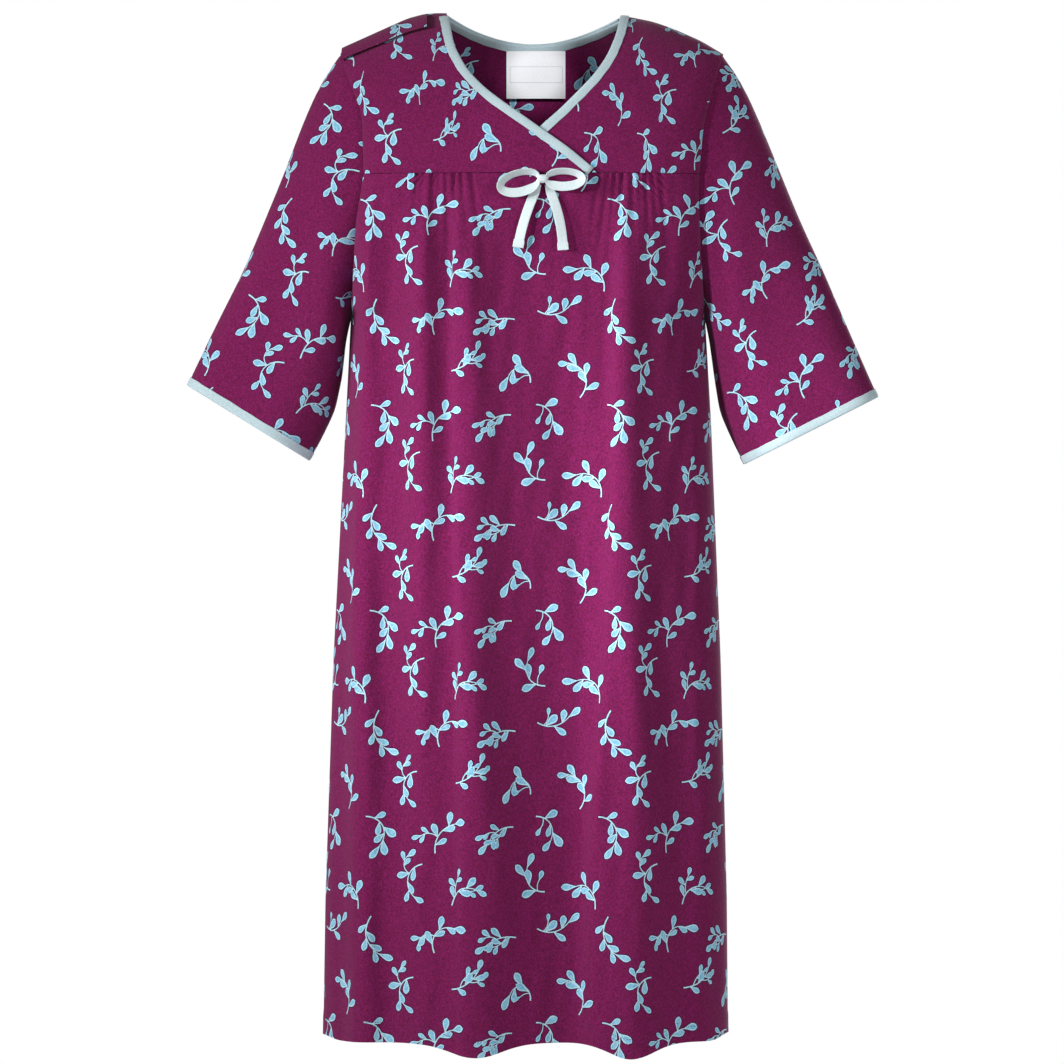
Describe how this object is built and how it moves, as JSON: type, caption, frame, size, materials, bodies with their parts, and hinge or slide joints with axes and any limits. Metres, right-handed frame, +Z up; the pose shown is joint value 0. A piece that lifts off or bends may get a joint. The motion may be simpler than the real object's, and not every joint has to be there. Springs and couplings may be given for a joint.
{
  "type": "patient gown",
  "caption": "Open-back patient gown: surplice neck with edge binding, gathered front, bow, three-quarter sleeves, and two lapped back panels snapped at the shoulders.",
  "frame": {"origin": "level with the neck points, midway between the shoulders, on the shoulder ridge", "axes": "+X to the wearer's left, the front faces -Y, +Z up from hem to neck"},
  "size_m": [0.7844, 0.2381, 1.1773],
  "materials": {
    "knit": "matte heathered plum jersey with a pale blue leaf print",
    "binding": "matte pale ice-blue folded tape",
    "ribbon": "soft pale ice-blue ribbon",
    "snap_tape": "plain woven plum tape",
    "snap_plastic": "smooth moulded, slightly glossy",
    "label": "smooth white satin tape, blank"
  },
  "bodies": {
    "body": {"front_yoke_right": "knit", "front_yoke_left": "knit", "front_skirt": "knit", "front_hem": "knit", "back_outer_upper": "knit", "back_inner_upper": "knit", "neck_binding_right": "binding", "neck_binding_left": "binding", "back_neck_binding_outer": "binding", "back_neck_binding_inner": "binding", "shoulder_snap_tape": "snap_tape", "shoulder_snap_studs": "snap_plastic", "inner_snap_studs": "snap_plastic", "outer_snap_sockets": "snap_plastic", "bow_knot": "ribbon", "bow_loop_left": "ribbon", "bow_loop_right": "ribbon"},
    "back_outer_half": {"back_outer_mid": "knit"},
    "back_outer": {"back_outer_low": "knit", "back_outer_hem": "knit"},
    "back_inner_half": {"back_inner_mid": "knit"},
    "back_inner": {"back_inner_low": "knit", "back_inner_hem": "knit"},
    "flap": {"shoulder_flap": "knit", "flap_snap_tape": "snap_tape", "flap_snap_sockets": "snap_plastic"},
    "sleeve_r": {"sleeve_right": "knit", "cuff_binding_right": "binding"},
    "sleeve_l": {"sleeve_left": "knit", "cuff_binding_left": "binding"},
    "tail_r": {"bow_tail_left": "ribbon"},
    "tail_l": {"bow_tail_right": "ribbon"},
    "label_tab": {"label": "label"}
  },
  "joints": [
    {"name": "back_outer_open", "type": "hinge", "parent": "body", "child": "back_outer", "pos_m": [0.2115, 0, -0.52], "axis": [0.0228, 0, -0.9997], "range_deg": [0, 75]},
    {"name": "back_outer_half_open", "type": "hinge", "parent": "body", "child": "back_outer_half", "pos_m": [0.2115, 0, -0.52], "axis": [0.0228, 0, -0.9997], "range_deg": [0, 38]},
    {"name": "back_inner_press", "type": "hinge", "parent": "body", "child": "back_inner", "pos_m": [-0.2085, 0, -0.52], "axis": [0, 0, -1], "range_deg": [0, 14]},
    {"name": "back_inner_half_press", "type": "hinge", "parent": "body", "child": "back_inner_half", "pos_m": [-0.2085, 0, -0.52], "axis": [0, 0, -1], "range_deg": [0, 7.1]},
    {"name": "shoulder_flap_open", "type": "hinge", "parent": "body", "child": "flap", "pos_m": [-0.1391, -0.0004, -0.0058], "axis": [-0.9124, 0, -0.4094], "range_deg": [0, 115]},
    {"name": "sleeve_right_raise", "type": "hinge", "parent": "body", "child": "sleeve_r", "pos_m": [-0.2165, 0, -0.0465], "axis": [0, 1, 0], "range_deg": [0, 40]},
    {"name": "sleeve_left_raise", "type": "hinge", "parent": "body", "child": "sleeve_l", "pos_m": [0.2185, 0, -0.0475], "axis": [0, -1, 0], "range_deg": [0, 40]},
    {"name": "bow_tail_right_lift", "type": "hinge", "parent": "body", "child": "tail_r", "pos_m": [0.0084, -0.10321, -0.1968], "axis": [-1, 0, 0], "range_deg": [0, 25]},
    {"name": "bow_tail_left_lift", "type": "hinge", "parent": "body", "child": "tail_l", "pos_m": [0.0186, -0.10321, -0.1968], "axis": [-1, 0, 0], "range_deg": [0, 35]},
    {"name": "label_flip", "type": "hinge", "parent": "body", "child": "label_tab", "pos_m": [0.0055, 0.04813, -0.0408], "axis": [-1, 0, 0], "range_deg": [0, 120]}
  ],
  "couplings": [
    {"joint": "back_outer_half_open", "follows": "back_outer_open", "ratio": 0.5},
    {"joint": "back_inner_half_press", "follows": "back_inner_press", "ratio": 0.5}
  ]
}
